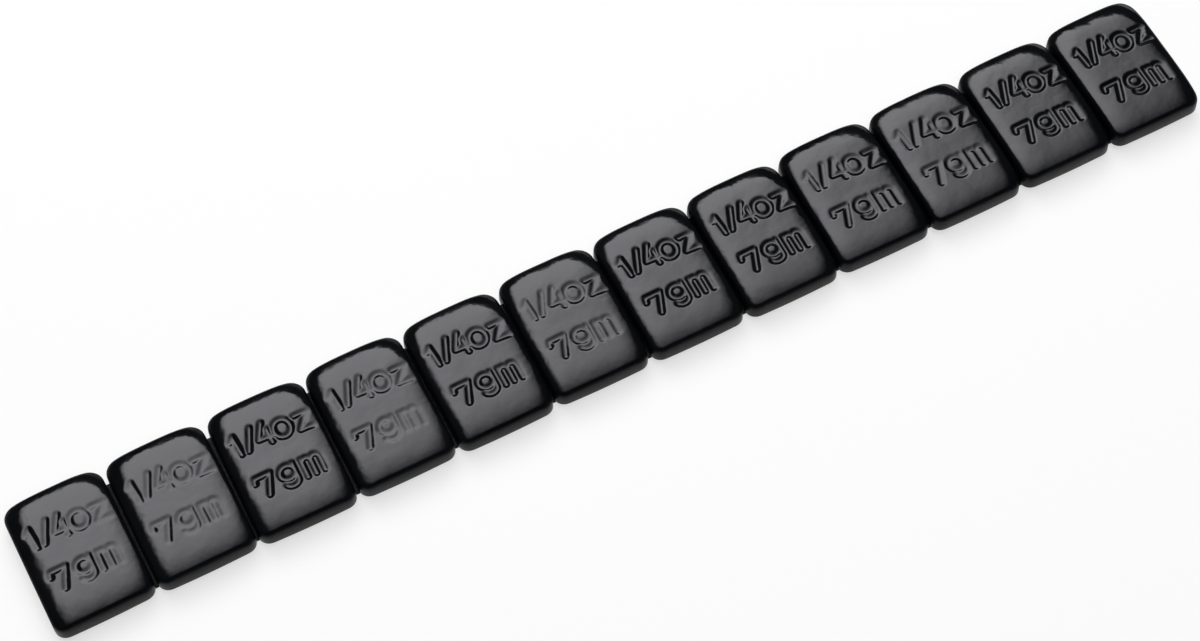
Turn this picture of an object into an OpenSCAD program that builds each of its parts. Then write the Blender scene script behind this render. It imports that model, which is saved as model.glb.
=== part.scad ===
// Stick-on wheel balance weight: a strip of coated steel weights on foam tape with a peel-off liner.
// X runs along the strip, Y across it and Z up. The origin is the middle of the liner's underside.
// All lengths are in millimetres.

/* [Strip] */
// How many weights the strip carries
weight_count = 12; // [2:1:12]
// Free space between one weight and the next
weight_gap = 0.35; // [0.3:0.05:1.5]

/* [Weight] */
// Length of one weight along the strip
weight_l = 13.85; // [12:0.05:18]
// Width of one weight across the strip, without the bow of its long sides
weight_w = 19.3; // [16:0.1:24]
// Height of one weight at the middle of its top
weight_h = 3.7; // [3:0.1:5]
// Radius of the four upright corners
corner_r = 1.8; // [1.4:0.1:3.5]
// Radius of the rounded rim round the top face
edge_r = 0.65; // [0.3:0.05:0.9]
// How far the top face falls from its middle to the middle of a side
crown = 0.8; // [0.2:0.05:1]
// How far the near and far sides bow outwards at their middle
side_bow = 0.15; // [0:0.05:0.4]
// How far the walls lean in between base and top edge
draft = 0.05; // [0:0.05:0.3]
// Small rounding where the walls meet the flat underside
base_r = 0.2; // [0.1:0.05:0.4]

/* [Tape and liner] */
// How far the tape stays inside the long sides of the weights
tape_side_inset = 1.6; // [0.3:0.05:3]
// How far the tape stays inside the two ends of the strip
tape_end_inset = 0.7; // [0.3:0.05:2.5]
// Thickness of the foam tape
tape_t = 0.8; // [0.5:0.05:2]
// Thickness of the liner
liner_t = 0.15; // [0.1:0.05:0.4]

/* [Hidden] */
// Each weight is laid by hand, a little to one side and a little turned
lay_shift = [0.1, 0.05, -0.1, 0, -0.1, 0.1, 0.05, -0.1, 0.05, -0.05, 0, 0];
lay_turn = [0.8, 0.4, -0.5, 0, 0.3, -0.3, 0.1, 0.2, -0.3, 0.2, 0, 0.3];

pitch = weight_l + weight_gap;
strip_l = (weight_count - 1) * pitch + weight_l;
tape_l = strip_l - 2 * tape_end_inset;
tape_w = weight_w - 2 * tape_side_inset;
seat_z = liner_t + tape_t;

corner_steps = 6;
side_steps = 4;
edge_steps = 4;
crown_rings = [0.93, 0.84, 0.7, 0.5];
// The top stays level in its middle and falls ever faster towards its rim
fall_along = 4.4;
fall_across = 6.2;

function weight_name(k) = str("weight_", k < 10 ? "0" : "", k);

// Quarter turn of a corner, drawn about the corner's own centre
function corner(cx, cy, r, start) =
    [for (i = [0:corner_steps]) let (a = start + 90 * i / corner_steps) [cx + r * cos(a), cy + r * sin(a)]];

// Points between two corners, so that a side can bow and the crown can follow it
function side(from, to) =
    [for (i = [1:side_steps - 1]) from + (to - from) * i / side_steps];

// The near and far sides stand out most at the middle of the weight's length
function bowed(p, z) =
    [p[0], p[1] + side_bow * (1 - pow(2 * p[0] / weight_l, 2)) * 2 * p[1] / weight_w, z];

// Rounded rectangle of one weight, drawn in by the given inset
function outline(inset) =
    let (
        r = corner_r - inset,
        cx = weight_l / 2 - corner_r,
        cy = weight_w / 2 - corner_r,
        a = corner(cx, cy, r, 0),
        b = corner(-cx, cy, r, 90),
        c = corner(-cx, -cy, r, 180),
        d = corner(cx, -cy, r, 270),
        n = corner_steps
    )
    concat(a, side(a[n], b[0]), b, side(b[n], c[0]), c, side(c[n], d[0]), d, side(d[n], a[0]));

// Height of the crowned top face
function top_z(p) =
    weight_h - crown * (pow(abs(2 * p[0] / weight_l), fall_along) + pow(abs(2 * p[1] / weight_w), fall_across));

function wall_level(inset, z) = [for (p = outline(inset)) bowed(p, z)];
function rim_level(a) = [for (p = outline(draft + edge_r * (1 - cos(a)))) bowed(p, top_z(p) - edge_r * (1 - sin(a)))];
function crown_level(s) = [for (p = outline(draft + edge_r)) bowed(s * p, top_z(s * p))];

weight_levels = concat(
    [wall_level(base_r, 0), wall_level(0, base_r)],
    [for (i = [0:edge_steps]) rim_level(90 * i / edge_steps)],
    [for (s = crown_rings) crown_level(s)]
);

// Closed solid through a stack of loops that all have the same number of points
module lofted(levels, foot, top) {
    n = len(levels[0]);
    last = (len(levels) - 1) * n;
    points = concat([for (ring = levels) each ring], [foot, top]);
    ends = len(points) - 2;
    faces = [for (i = [0:n - 1])
        let (j = (i + 1) % n)
        each concat(
            [[i, j, ends], [last + i, ends + 1, last + j]],
            [for (low = [0:n:last - n]) each [[low + i, low + n + i, low + n + j], [low + i, low + n + j, low + j]]]
        )];
    polyhedron(points, faces);
}

module weight(k) {
    color("#1d1d1f")
    translate([(k - 1 - (weight_count - 1) / 2) * pitch, lay_shift[k - 1], seat_z])
    rotate([0, 0, lay_turn[k - 1]])
    lofted(weight_levels, [0, 0, 0], [0, 0, weight_h]);
}

module strip_layer(z, t) {
    translate([-tape_l / 2, -tape_w / 2, z])
    cube([tape_l, tape_w, t]);
}

module foam_tape() {
    color("#2b2b2d")
    strip_layer(liner_t, tape_t);
}

module release_liner() {
    color("ivory")
    strip_layer(0, liner_t);
}

for (k = [1:weight_count])
    weight(k);
foam_tape();
release_liner();
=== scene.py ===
import bpy
import math
from mathutils import Matrix, Vector, noise


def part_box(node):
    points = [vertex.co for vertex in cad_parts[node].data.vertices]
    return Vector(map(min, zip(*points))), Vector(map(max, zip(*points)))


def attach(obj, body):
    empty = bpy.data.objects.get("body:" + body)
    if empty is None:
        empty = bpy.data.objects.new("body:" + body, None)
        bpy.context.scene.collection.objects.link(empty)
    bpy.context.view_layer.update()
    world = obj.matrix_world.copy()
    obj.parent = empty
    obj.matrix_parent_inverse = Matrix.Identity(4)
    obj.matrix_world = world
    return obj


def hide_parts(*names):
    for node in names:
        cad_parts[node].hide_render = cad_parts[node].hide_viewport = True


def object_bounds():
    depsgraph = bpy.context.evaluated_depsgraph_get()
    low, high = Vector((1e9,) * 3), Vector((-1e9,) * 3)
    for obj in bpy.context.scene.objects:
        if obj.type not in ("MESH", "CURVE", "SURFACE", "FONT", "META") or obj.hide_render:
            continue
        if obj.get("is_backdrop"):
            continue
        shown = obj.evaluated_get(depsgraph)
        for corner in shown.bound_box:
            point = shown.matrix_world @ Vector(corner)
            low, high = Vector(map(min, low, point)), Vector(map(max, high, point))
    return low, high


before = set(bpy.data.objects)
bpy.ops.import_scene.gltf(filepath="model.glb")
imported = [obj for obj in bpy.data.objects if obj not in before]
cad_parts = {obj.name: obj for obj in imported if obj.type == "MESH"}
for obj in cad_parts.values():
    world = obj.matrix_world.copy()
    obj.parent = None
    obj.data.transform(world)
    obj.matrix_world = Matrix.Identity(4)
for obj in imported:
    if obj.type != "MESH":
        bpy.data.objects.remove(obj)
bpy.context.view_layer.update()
bpy.context.scene.view_settings.view_transform = "Standard"
print("frame loaded")

mm = 0.001  # pieces are drawn in millimetres and brought to metres when they are placed
hair = 0.01  # millimetres, for what counts as the same place
weightNodes = sorted(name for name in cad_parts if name.startswith("weight_"))


# selection and edit mode

def deselectAll():
    if bpy.context.mode != "OBJECT":
        bpy.ops.object.mode_set(mode="OBJECT")
    bpy.ops.object.select_all(action="DESELECT")


def makeActive(piece):
    deselectAll()
    piece.select_set(True)
    bpy.context.view_layer.objects.active = piece


def pick(piece, kind, wanted):
    # selects the edges or faces of a piece in edit mode that pass the test
    bpy.ops.mesh.select_mode(type=kind)
    bpy.ops.mesh.select_all(action="DESELECT")
    bpy.ops.object.mode_set(mode="OBJECT")
    mesh = piece.data
    if kind == "EDGE":
        for edge in mesh.edges:
            edge.select = wanted(*[mesh.vertices[v].co for v in edge.vertices])
    else:
        for face in mesh.polygons:
            face.select = wanted(face.center, face.normal)
    bpy.ops.object.mode_set(mode="EDIT")


def cutThrough(place, direction):
    bpy.ops.mesh.select_all(action="SELECT")
    bpy.ops.mesh.bisect(plane_co=place, plane_no=direction)


def applyModifier(piece, kind, **settings):
    makeActive(piece)
    mod = piece.modifiers.new(kind.title(), kind)
    for key, value in settings.items():
        setattr(mod, key, value)
    bpy.ops.object.modifier_apply(modifier=mod.name)


def smoothBelow(piece, degrees):
    # smooth shading with sharp edges where faces meet at more than the given angle
    makeActive(piece)
    bpy.ops.object.shade_smooth_by_angle(angle=math.radians(degrees))


def seatOf(node):
    # the middle of a node's underside
    low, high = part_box(node)
    return Vector(((low[0] + high[0]) / 2, (low[1] + high[1]) / 2, low[2]))


def copyOf(piece, name):
    twin = piece.copy()
    twin.data = piece.data.copy()
    twin.name = twin.data.name = name
    bpy.context.collection.objects.link(twin)
    return twin


# weight body

plainNode = "weight_04"  # laid square to the strip, so its box gives the weight's own size
low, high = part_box(plainNode)
body = {
    "length": (high[0] - low[0]) / mm,
    "width": (high[1] - low[1]) / mm,
    "height": (high[2] - low[2]) / mm,
    "bow": 0.15,
    "crown": 0.8,
    "crownPowers": (5.6, 6.2),
    "cornerFall": {(1, 1): 1.2, (-1, 1): 0.8, (1, -1): 0.7, (-1, -1): 0.1},  # by the signs of x and y
    "cornerPower": 4,
    "draft": 0.05,
    "cornerRadius": 1.5,
    "cornerSteps": 4,
    "edgeRadius": 0.4,
    "edgeSteps": 3,
    "rimSupport": 0.16,
    "baseRadius": 0.4,
    "baseReach": 0.7,  # from this share of the half sizes outwards, so the middle of the underside stays
    "baseCuts": (0.1, 0.25, 0.42),
    "cornerCell": 1.9,
    "cellsAlong": 22,
    "cellsAcross": 34,
    "smoothLevels": 2,
}
body["straightWidth"] = body["width"] - 2 * body["bow"]


def cutPlaces(size, cells):
    span = size - 2 * body["cornerCell"]
    return [-span / 2 + span * i / cells for i in range(cells + 1)]


def makeBody():
    halfL, halfW = body["length"] / 2, body["straightWidth"] / 2
    top = body["height"]
    bpy.ops.mesh.primitive_cube_add(size=1, location=(0, 0, top / 2), scale=(2 * halfL, 2 * halfW, top))
    piece = bpy.context.object
    piece.name = "weightMaster"
    bpy.ops.object.transform_apply(location=True, rotation=True, scale=True)
    bpy.ops.object.mode_set(mode="EDIT")
    for x in cutPlaces(2 * halfL, body["cellsAlong"]):
        cutThrough((x, 0, 0), (1, 0, 0))
    for y in cutPlaces(2 * halfW, body["cellsAcross"]):
        cutThrough((0, y, 0), (0, 1, 0))
    for z in body["baseCuts"]:
        cutThrough((0, 0, z), (0, 0, 1))
    pick(piece, "FACE", lambda centre, normal: normal.z > 0.9)  # draft: the top is a little smaller
    lean = body["draft"]
    bpy.ops.transform.resize(value=((halfL - lean) / halfL, (halfW - lean) / halfW, 1))
    near = 2 * lean  # upright corner edges lie this close to both sides
    pick(piece, "EDGE", lambda a, b: all(abs(p.x) > halfL - near and abs(p.y) > halfW - near for p in (a, b)))
    bpy.ops.mesh.bevel(offset=body["cornerRadius"], segments=body["cornerSteps"], clamp_overlap=False)
    pick(piece, "FACE", lambda centre, normal: normal.z > 0.9)
    bpy.ops.mesh.region_to_loop()
    bpy.ops.mesh.bevel(offset=body["edgeRadius"], segments=body["edgeSteps"], clamp_overlap=False)
    pick(piece, "FACE", lambda centre, normal: normal.z > 0.99)
    bpy.ops.mesh.inset(thickness=body["rimSupport"])  # keeps the rim's rounding to its own width
    pick(piece, "FACE", lambda centre, normal: normal.z < -0.9)
    bpy.ops.mesh.delete(type="FACE")  # the flat underside comes back as one face after smoothing
    bpy.ops.object.mode_set(mode="OBJECT")
    levels = body["smoothLevels"]
    applyModifier(piece, "SUBSURF", levels=levels, render_levels=levels)
    bpy.ops.object.mode_set(mode="EDIT")
    pick(piece, "EDGE", lambda a, b: max(a.z, b.z) < hair)
    bpy.ops.mesh.edge_face_add()
    bpy.ops.object.mode_set(mode="OBJECT")
    powerX, powerY = body["crownPowers"]
    for vert in piece.data.vertices:  # bowed long sides, and a top that falls away towards its rim
        x, y = abs(vert.co.x) / halfL, abs(vert.co.y) / halfW
        vert.co.y *= 1 + body["bow"] * (1 - x * x) / halfW
        corner = body["cornerFall"][1 if vert.co.x > 0 else -1, 1 if vert.co.y > 0 else -1]
        radius = body["baseRadius"]
        if vert.co.z < radius and max(x, y) > body["baseReach"]:  # rounded edge round the underside
            inset = radius - math.sqrt(radius ** 2 - (radius - vert.co.z) ** 2)
            vert.co.x *= 1 - inset / halfL
            vert.co.y *= 1 - inset / halfW
        fall = body["crown"] * (x ** powerX + y ** powerY) + corner * (x * y) ** body["cornerPower"]
        vert.co.z -= fall * min(1, vert.co.z / (top - body["edgeRadius"]))
    return piece


# value marks

marks = {
    "halfWidth": 0.62,
    "floorHalfWidth": 0.1,
    "soften": 2,
}


def arc(cx, cy, radius, start, end, squash=1.0):
    steps = max(4, int(abs(end - start) / 12))
    angles = [math.radians(start + (end - start) * i / steps) for i in range(steps + 1)]
    return [(cx + radius * math.cos(a), cy + squash * radius * math.sin(a)) for a in angles]


# Plain single-stroke figures in millimetres about the middle of the face
strokes = [
    [(-5.05, 4.4), (-4.55, 5.0), (-4.3, 2.1)],  # one
    [(-2.05, 5.2), (-3.3, 2.1)],  # stroke of the fraction
    [(-0.45, 5.2), (-1.6, 2.95), (0.35, 2.85)],  # four
    [(-0.1, 4.0), (-0.05, 2.0)],
    arc(1.8, 3.25, 1.15, 0, 360, 1.12),  # o
    [(3.8, 4.15), (5.55, 4.2), (3.9, 1.9), (5.65, 1.9)],  # z
    [(-4.5, -2.6), (-4.35, -1.9), (-2.2, -1.9), (-3.3, -4.8)],  # seven
    arc(-0.1, -2.95, 1.05, 0, 360, 0.95),  # g
    [(0.95, -2.0), (0.95, -4.2)] + arc(0, -4.2, 0.95, 0, -150, 0.85),
    [(2.1, -2.05), (2.1, -4.7)],  # m
    [(2.1, -2.75)] + arc(2.7, -2.65, 0.6, 180, 0) + [(3.3, -4.7)],
    [(3.3, -2.75)] + arc(3.9, -2.65, 0.6, 180, 0) + [(4.5, -4.7)],
]


def makeStrokes():
    # the figures' centre lines as loose edges, laid on the top face
    curve = bpy.data.curves.new("strokes", "CURVE")
    curve.dimensions = "3D"
    for points in strokes:
        spline = curve.splines.new("POLY")
        spline.points.add(len(points) - 1)
        for target, (x, y) in zip(spline.points, points):
            target.co = (x, y, body["height"], 1)
    lines = bpy.data.objects.new("strokes", curve)
    bpy.context.collection.objects.link(lines)
    makeActive(lines)
    bpy.ops.object.convert(target="MESH")
    return bpy.context.object


def weighMarks(piece):
    # every vertex learns how near it is to a stroke: 1 on its floor, 0 outside it
    lines = makeStrokes()
    group = piece.vertex_groups.new(name="marks")
    group.add(range(len(piece.data.vertices)), 1, "REPLACE")
    applyModifier(
        piece, "VERTEX_WEIGHT_PROXIMITY", vertex_group="marks", target=lines,
        proximity_mode="GEOMETRY", proximity_geometry={"EDGE"}, falloff_type="LINEAR",
        min_dist=marks["halfWidth"], max_dist=marks["floorHalfWidth"])
    makeActive(piece)
    bpy.ops.object.mode_set(mode="EDIT")
    bpy.ops.mesh.select_all(action="SELECT")
    bpy.ops.object.vertex_group_smooth(group_select_mode="ALL", factor=0.5, repeat=marks["soften"])
    bpy.ops.object.mode_set(mode="OBJECT")
    bpy.data.objects.remove(lines)


# weights in their places

# How deep the marks of each weight are, at the left and right end of the first line and of the second
lay = {
    "turn": [0.8, 0.4, -0.5, 0, 0.3, -0.3, 0.1, 0.2, -0.3, 0.2, 0, 0.3],
    "press": [
        (0.2, 0.11, 0.25, 0.1), (0.13, 0.15, 0.14, 0.12), (0.28, 0.23, 0.3, 0.2), (0.18, 0.2, 0.22, 0.04),
        (0.27, 0.19, 0.27, 0.24), (0.12, 0.22, 0.27, 0.1), (0.3, 0.27, 0.33, 0.26), (0.29, 0.28, 0.31, 0.28),
        (0.18, 0.25, 0.3, 0.16), (0.2, 0.23, 0.22, 0.13), (0.33, 0.33, 0.34, 0.26), (0.36, 0.34, 0.36, 0.3)],
    "wave": 0.07,
    "waveSize": 2.2,
    "waveStep": 3.7,  # takes each weight's waves from another part of the noise
    "sharpFrom": 50,
}


def mix(first, second, share):
    share = min(1, max(0, share))
    return first + (second - first) * share


def pressed(piece, k):
    # sinks the marks by this weight's depth and makes its top a little uneven
    leftOne, rightOne, leftTwo, rightTwo = lay["press"][k]
    group = piece.vertex_groups["marks"].index
    reach = body["length"] / 2
    for vert in piece.data.vertices:
        x, y, z = vert.co
        along, down = 0.5 + 0.5 * x / reach, 0.5 - 0.5 * y / reach
        depth = mix(mix(leftOne, rightOne, along), mix(leftTwo, rightTwo, along), down)
        weight = sum(g.weight for g in vert.groups if g.group == group)
        spot = Vector((x / lay["waveSize"], y / lay["waveSize"], lay["waveStep"] * (k + 1)))
        wave = 0.5 * lay["wave"] * (1 + noise.noise(spot))
        vert.co.z -= weight * depth + wave * min(1, z / body["height"])


def layWeights(master, coating):
    for k, node in enumerate(weightNodes):
        piece = copyOf(master, node + "_marked")
        pressed(piece, k)
        turn = Matrix.Rotation(math.radians(lay["turn"][k]), 4, "Z")
        piece.data.transform(Matrix.Translation(seatOf(node)) @ turn @ Matrix.Scale(mm, 4))
        smoothBelow(piece, lay["sharpFrom"])
        piece.data.materials.clear()
        piece.data.materials.append(coating)
        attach(piece, "root")
        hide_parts(node)
    bpy.data.objects.remove(master)
    print(len(weightNodes), "weights laid")


# tape and liner

layers = {
    "foam_tape": {
        "cell": 2.1, "cellsAcross": 8, "levels": 6, "cornerRadius": 0.3, "cornerSteps": 3,
        "waist": 0.16, "rag": 0.05, "sharpFrom": 40, "slot": "foam"},
    "release_liner": {
        "cell": 5.6, "cellsAcross": 4, "levels": 2, "cornerRadius": 0.5, "cornerSteps": 3,
        "waist": 0.0, "rag": 0.0, "sharpFrom": 40, "slot": "liner_paper"},
}


def layLayer(node, surface):
    # a thin flat strip; the sides of the foam are drawn in at their middle and a little ragged
    layer = layers[node]
    low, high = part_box(node)
    length, width, height = [(b - a) / mm for a, b in zip(low, high)]
    bpy.ops.mesh.primitive_cube_add(size=1, location=(0, 0, height / 2), scale=(length, width, height))
    piece = bpy.context.object
    piece.name = piece.data.name = node + "_dressed"
    bpy.ops.object.transform_apply(location=True, rotation=True, scale=True)
    bpy.ops.object.mode_set(mode="EDIT")
    pick(piece, "EDGE", lambda a, b: abs(a.x - b.x) + abs(a.y - b.y) < hair)
    bpy.ops.mesh.bevel(offset=layer["cornerRadius"], segments=layer["cornerSteps"])
    for axis, size, cells in ((0, length, round(length / layer["cell"])), (1, width, layer["cellsAcross"])):
        for i in range(1, cells):
            at = [0, 0, height / 2]
            at[axis] = size * (i / cells - 0.5)
            cutThrough(at, [int(n == axis) for n in range(3)])
    for i in range(1, layer["levels"]):
        cutThrough((0, 0, height * i / layer["levels"]), (0, 0, 1))
    bpy.ops.object.mode_set(mode="OBJECT")
    for vert in piece.data.vertices:
        level = 2 * vert.co.z / height - 1
        depth = layer["waist"] * (1 - level * level)
        depth += layer["rag"] * (1 + noise.noise(vert.co)) * (1 - level ** 4)
        for axis, half in ((0, length / 2), (1, width / 2)):
            if half - abs(vert.co[axis]) < layer["cornerRadius"]:
                vert.co[axis] -= math.copysign(depth, vert.co[axis])
    piece.data.transform(Matrix.Translation(seatOf(node)) @ Matrix.Scale(mm, 4))
    smoothBelow(piece, layer["sharpFrom"])
    piece.data.materials.append(surface)
    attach(piece, "root")
    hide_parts(node)
    print(node, "laid")


# materials

class Wire:
    # An output socket of a shader node. Arithmetic on it adds Math nodes
    def __init__(self, socket):
        self.socket = socket

    @staticmethod
    def make(tree, kind, settings, inputs, output=0):
        made = tree.nodes.new(kind)
        for key, value in settings.items():
            setattr(made, key, value)
        plug(made, inputs)
        return Wire(made.outputs[output])

    def node(self, kind, settings, inputs, output=0):
        return Wire.make(self.socket.id_data, kind, settings, inputs, output)

    def sibling(self, output):
        return Wire(self.socket.node.outputs[output])

    def maths(self, operation, first, second):
        return self.node("ShaderNodeMath", {"operation": operation}, {0: first, 1: second})

    def __add__(self, other):
        return self.maths("ADD", self, other)

    def __sub__(self, other):
        return self.maths("SUBTRACT", self, other)

    def __rsub__(self, other):
        return self.maths("SUBTRACT", other, self)

    def __mul__(self, other):
        return self.maths("MULTIPLY", self, other)

    __radd__ = __add__
    __rmul__ = __mul__

    def noise(self, size, detail=2.0):
        # cloudy values round 0.5, with blotches of about the given size in millimetres
        return self.node("ShaderNodeTexNoise", {}, {
            "Vector": self, "Scale": 1 / (size * mm), "Detail": detail})

    def spread(self, low, high):
        # stretches the usual range of a noise to the two given values
        return self.node("ShaderNodeMapRange", {}, {
            "Value": self, "From Min": 0.3, "From Max": 0.7, "To Min": low, "To Max": high})

    def tint(self, first, second):
        return self.node("ShaderNodeMix", {"data_type": "RGBA"}, {0: self, 6: first, 7: second}, 2)

    def bump(self, rise):
        # a relief that stands up by the given height in millimetres
        return self.node("ShaderNodeBump", {}, {"Height": self, "Distance": rise * mm}, "Normal")


def plug(node, inputs):
    for key, value in inputs.items():
        if isinstance(value, Wire):
            node.id_data.links.new(value.socket, node.inputs[key])
        else:
            node.inputs[key].default_value = value


def material(name):
    m = bpy.data.materials.new(name)
    m.use_nodes = True
    place = Wire.make(m.node_tree, "ShaderNodeTexCoord", {}, {}, "Object")
    return m, m.node_tree.nodes["Principled BSDF"], place


# Lengths in millimetres. Between the two wallTurn values, the upward parts of the surface's direction, the
# coating goes from glossy to dull
coat = {
    "dark": (0.0014, 0.0017, 0.0024, 1),
    "light": (0.003, 0.0034, 0.0044, 1),
    "cloud": 7,
    "sheen": (0.95, 0.945, 1, 1),
    "rough": (0.09, 0.16),
    "smear": 3.5,
    "ior": 1.5,
    "wallRough": 0.32,
    "wallIor": 1.13,
    "wallTurn": (0.95, 0.75),
    "footRange": (1, 3.4),
    "footShine": 0.55,
    "peel": 1.2,
    "peelRise": 0.035,
}


def coatMaterial():
    # glossy on the top face, duller on the steep faces, where the coating is thin, and least so at their foot
    m, bsdf, place = material("blackCoat")
    height = place.node("ShaderNodeSeparateXYZ", {}, {"Vector": place}, "Z")
    facing = place.node("ShaderNodeSeparateXYZ", {}, {"Vector": place.sibling("Normal")}, "Z")
    flat, steep = coat["wallTurn"]
    wall = facing.node("ShaderNodeMapRange", {"interpolation_type": "SMOOTHSTEP"}, {
        "Value": facing, "From Min": steep, "From Max": flat, "To Min": 1, "To Max": 0})
    low, high = coat["footRange"]
    foot = height.node("ShaderNodeMapRange", {}, {
        "Value": height, "From Min": low * mm, "From Max": high * mm,
        "To Min": coat["footShine"], "To Max": 0})
    tone = place.noise(coat["cloud"], 4).spread(0, 1).tint(coat["dark"], coat["light"])
    smear = place.noise(coat["smear"], 5).spread(*coat["rough"])
    peel = place.noise(coat["peel"], 1).bump(coat["peelRise"])
    plug(bsdf, {"Base Color": tone, "Roughness": smear, "IOR": coat["ior"], "Specular Tint": coat["sheen"],
                "Normal": peel})
    dull = place.node("ShaderNodeBsdfPrincipled", {}, {
        "Base Color": tone, "Roughness": smear + coat["wallRough"], "IOR": coat["wallIor"], "Normal": peel})
    glossy = Wire(bsdf.outputs["BSDF"])
    both = wall.node("ShaderNodeMixShader", {}, {0: wall * (1 - foot), 1: glossy, 2: dull})
    plug(m.node_tree.nodes["Material Output"], {"Surface": both})
    return m


foam = {
    "dark": (0.008, 0.008, 0.009, 1),
    "light": (0.035, 0.035, 0.037, 1),
    "cell": 0.18,
    "rough": (0.8, 0.95),
    "cellRise": 0.05,
}


def foamMaterial():
    m, bsdf, place = material("blackFoam")
    cells = place.node("ShaderNodeTexVoronoi", {}, {"Vector": place, "Scale": 1 / (foam["cell"] * mm)})
    plug(bsdf, {
        "Base Color": cells.tint(foam["dark"], foam["light"]),
        "Roughness": place.noise(3 * foam["cell"]).spread(*foam["rough"]),
        "Normal": cells.bump(foam["cellRise"]),
    })
    return m


paper = {
    "warm": (0.74, 0.7, 0.61, 1),
    "pale": (0.84, 0.82, 0.77, 1),
    "fibre": 1.2,
    "rough": (0.45, 0.6),
    "fibreRise": 0.006,
}


def paperMaterial():
    m, bsdf, place = material("linerPaper")
    fibres = place.noise(paper["fibre"], 8)
    plug(bsdf, {
        "Base Color": fibres.spread(0, 1).tint(paper["warm"], paper["pale"]),
        "Roughness": place.noise(4 * paper["fibre"]).spread(*paper["rough"]),
        "Normal": fibres.bump(paper["fibreRise"]),
    })
    return m


# camera, light and floor

view = {"lens": 85.8, "eye": (-76.13, -164.14, 338.67), "aim": (-4.05, -2.05, 4.5), "roll": -3.354}


def addCamera():
    eye, aim = Vector(view["eye"]) * mm, Vector(view["aim"]) * mm
    bpy.ops.object.camera_add(location=eye)
    cam = bpy.context.object
    turn = (aim - eye).to_track_quat("-Z", "Y").to_matrix().to_4x4()
    cam.matrix_world = Matrix.Translation(eye) @ turn @ Matrix.Rotation(math.radians(view["roll"]), 4, "Z")
    cam.data.lens = view["lens"]
    cam.data.sensor_width = 36
    cam.data.clip_start = 0.01
    bpy.context.scene.camera = cam


# One big softbox over the strip. Its light fades out from "full" to "edge", both in millimetres. From
# turnFrom on its right side leans outwards, and from droopFrom on its far side comes nearer, in shares of
# its size
softbox = {
    "height": 676,
    "x": {"edge": (-410, 850), "full": (-190, -80)},
    "y": {"edge": (-416, 984), "full": (461, 890)},
    "radiance": 4.15,
    "turnFrom": 0.54,
    "turn": 1.3,
    "droopFrom": 0.55,
    "droop": 0.7,
}
floorLamp = {"place": (0, -400, 850), "size": 500, "radiance": 3}  # hidden from gloss, so for the floor alone
studio = {
    "world": 0.03,
    "floor": 0.9,
    "floorWhite": 0.6,  # how much of the floor is plain white to the camera and in reflections
    "floorSize": 6,  # metres
}


def fade(place, edge, full, shift=0):
    # 0 at both edges of the softbox, 1 between its full marks; place runs from 0 to 1 across it, and shift
    # moves its second side
    span = edge[1] - edge[0]
    rise = place.node("ShaderNodeMapRange", {"interpolation_type": "SMOOTHSTEP"},
                      {"Value": place, "From Min": 0, "From Max": (full[0] - edge[0]) / span})
    fall = place.node("ShaderNodeMapRange", {"interpolation_type": "SMOOTHSTEP"},
                      {"Value": place - shift, "From Min": (full[1] - edge[0]) / span, "From Max": 1,
                       "To Min": 1, "To Max": 0})
    return rise * fall


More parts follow.
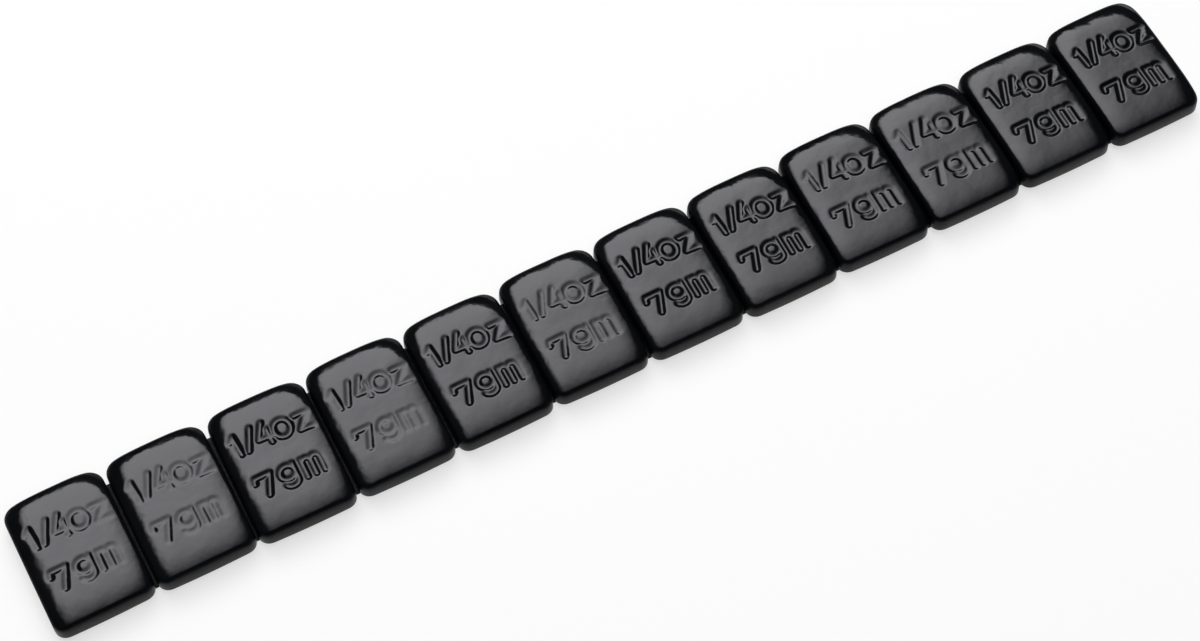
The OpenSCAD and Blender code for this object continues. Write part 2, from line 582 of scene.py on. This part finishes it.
def addSoftbox():
    (x0, x1), (y0, y1) = softbox["x"]["edge"], softbox["y"]["edge"]
    middle = Vector(((x0 + x1) / 2, (y0 + y1) / 2, softbox["height"])) * mm
    bpy.ops.object.light_add(type="AREA", location=middle)
    lamp = bpy.context.object
    lamp.name = "softbox"
    lamp.data.shape = "RECTANGLE"
    lamp.data.size = (x1 - x0) * mm
    lamp.data.size_y = (y1 - y0) * mm
    lamp.data.energy = softbox["radiance"] * math.pi * lamp.data.size * lamp.data.size_y
    lamp.visible_camera = False
    lamp.data.use_nodes = True
    tree = lamp.data.node_tree
    place = Wire.make(tree, "ShaderNodeNewGeometry", {}, {}, "Parametric")
    along = place.node("ShaderNodeSeparateXYZ", {}, {"Vector": place}, "X")
    up = along.sibling("Y")
    turn = up.maths("MAXIMUM", up - softbox["turnFrom"], 0) * softbox["turn"]
    droop = up.maths("MAXIMUM", along - softbox["droopFrom"], 0) * -softbox["droop"]
    glow = fade(along, **softbox["x"], shift=turn) * fade(up, **softbox["y"], shift=droop)
    tree.links.new(glow.socket, tree.nodes["Emission"].inputs["Strength"])


def addFloorLamp():
    place = Vector(floorLamp["place"]) * mm
    bpy.ops.object.light_add(type="AREA", location=place, rotation=place.to_track_quat("Z", "Y").to_euler())
    lamp = bpy.context.object
    lamp.name = "floorLamp"
    lamp.data.size = floorLamp["size"] * mm
    lamp.data.energy = floorLamp["radiance"] * math.pi * lamp.data.size ** 2
    lamp.visible_camera = False
    lamp.visible_glossy = False


def addWorld():
    world = bpy.data.worlds.new("studio")
    bpy.context.scene.world = world
    world.use_nodes = True
    world.node_tree.nodes["Background"].inputs["Color"].default_value = (1, 1, 1, 1)
    world.node_tree.nodes["Background"].inputs["Strength"].default_value = studio["world"]


def addFloor():
    bpy.ops.mesh.primitive_plane_add(size=studio["floorSize"], location=(0, 0, 0))
    floor = bpy.context.object
    floor.name = "floor"
    m, bsdf, place = material("floorWhite")
    plug(bsdf, {"Base Color": [studio["floor"]] * 3 + [1], "Roughness": 0.9, "Specular IOR Level": 0})
    # white ground with a pale shadow for the camera, and the same in reflections
    seen = place.node("ShaderNodeLightPath", {}, {}, "Is Camera Ray")
    for ray in ("Is Glossy Ray", "Is Transmission Ray"):
        seen = seen.maths("MAXIMUM", seen, seen.node("ShaderNodeLightPath", {}, {}, ray))
    white = place.node("ShaderNodeEmission", {}, {"Color": (1, 1, 1, 1), "Strength": 1})
    both = place.node("ShaderNodeMixShader", {}, {
        0: seen * studio["floorWhite"], 1: Wire(bsdf.outputs["BSDF"]), 2: white})
    plug(m.node_tree.nodes["Material Output"], {"Surface": both})
    floor.data.materials.append(m)
    floor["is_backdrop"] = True


addCamera()
addSoftbox()
addFloorLamp()
addWorld()
addFloor()
print("camera, light and floor placed")
deselectAll()
master = makeBody()
print("body made", len(master.data.polygons), "faces")
weighMarks(master)
layWeights(master, coatMaterial())
layLayer("foam_tape", foamMaterial())
layLayer("release_liner", paperMaterial())

low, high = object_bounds()
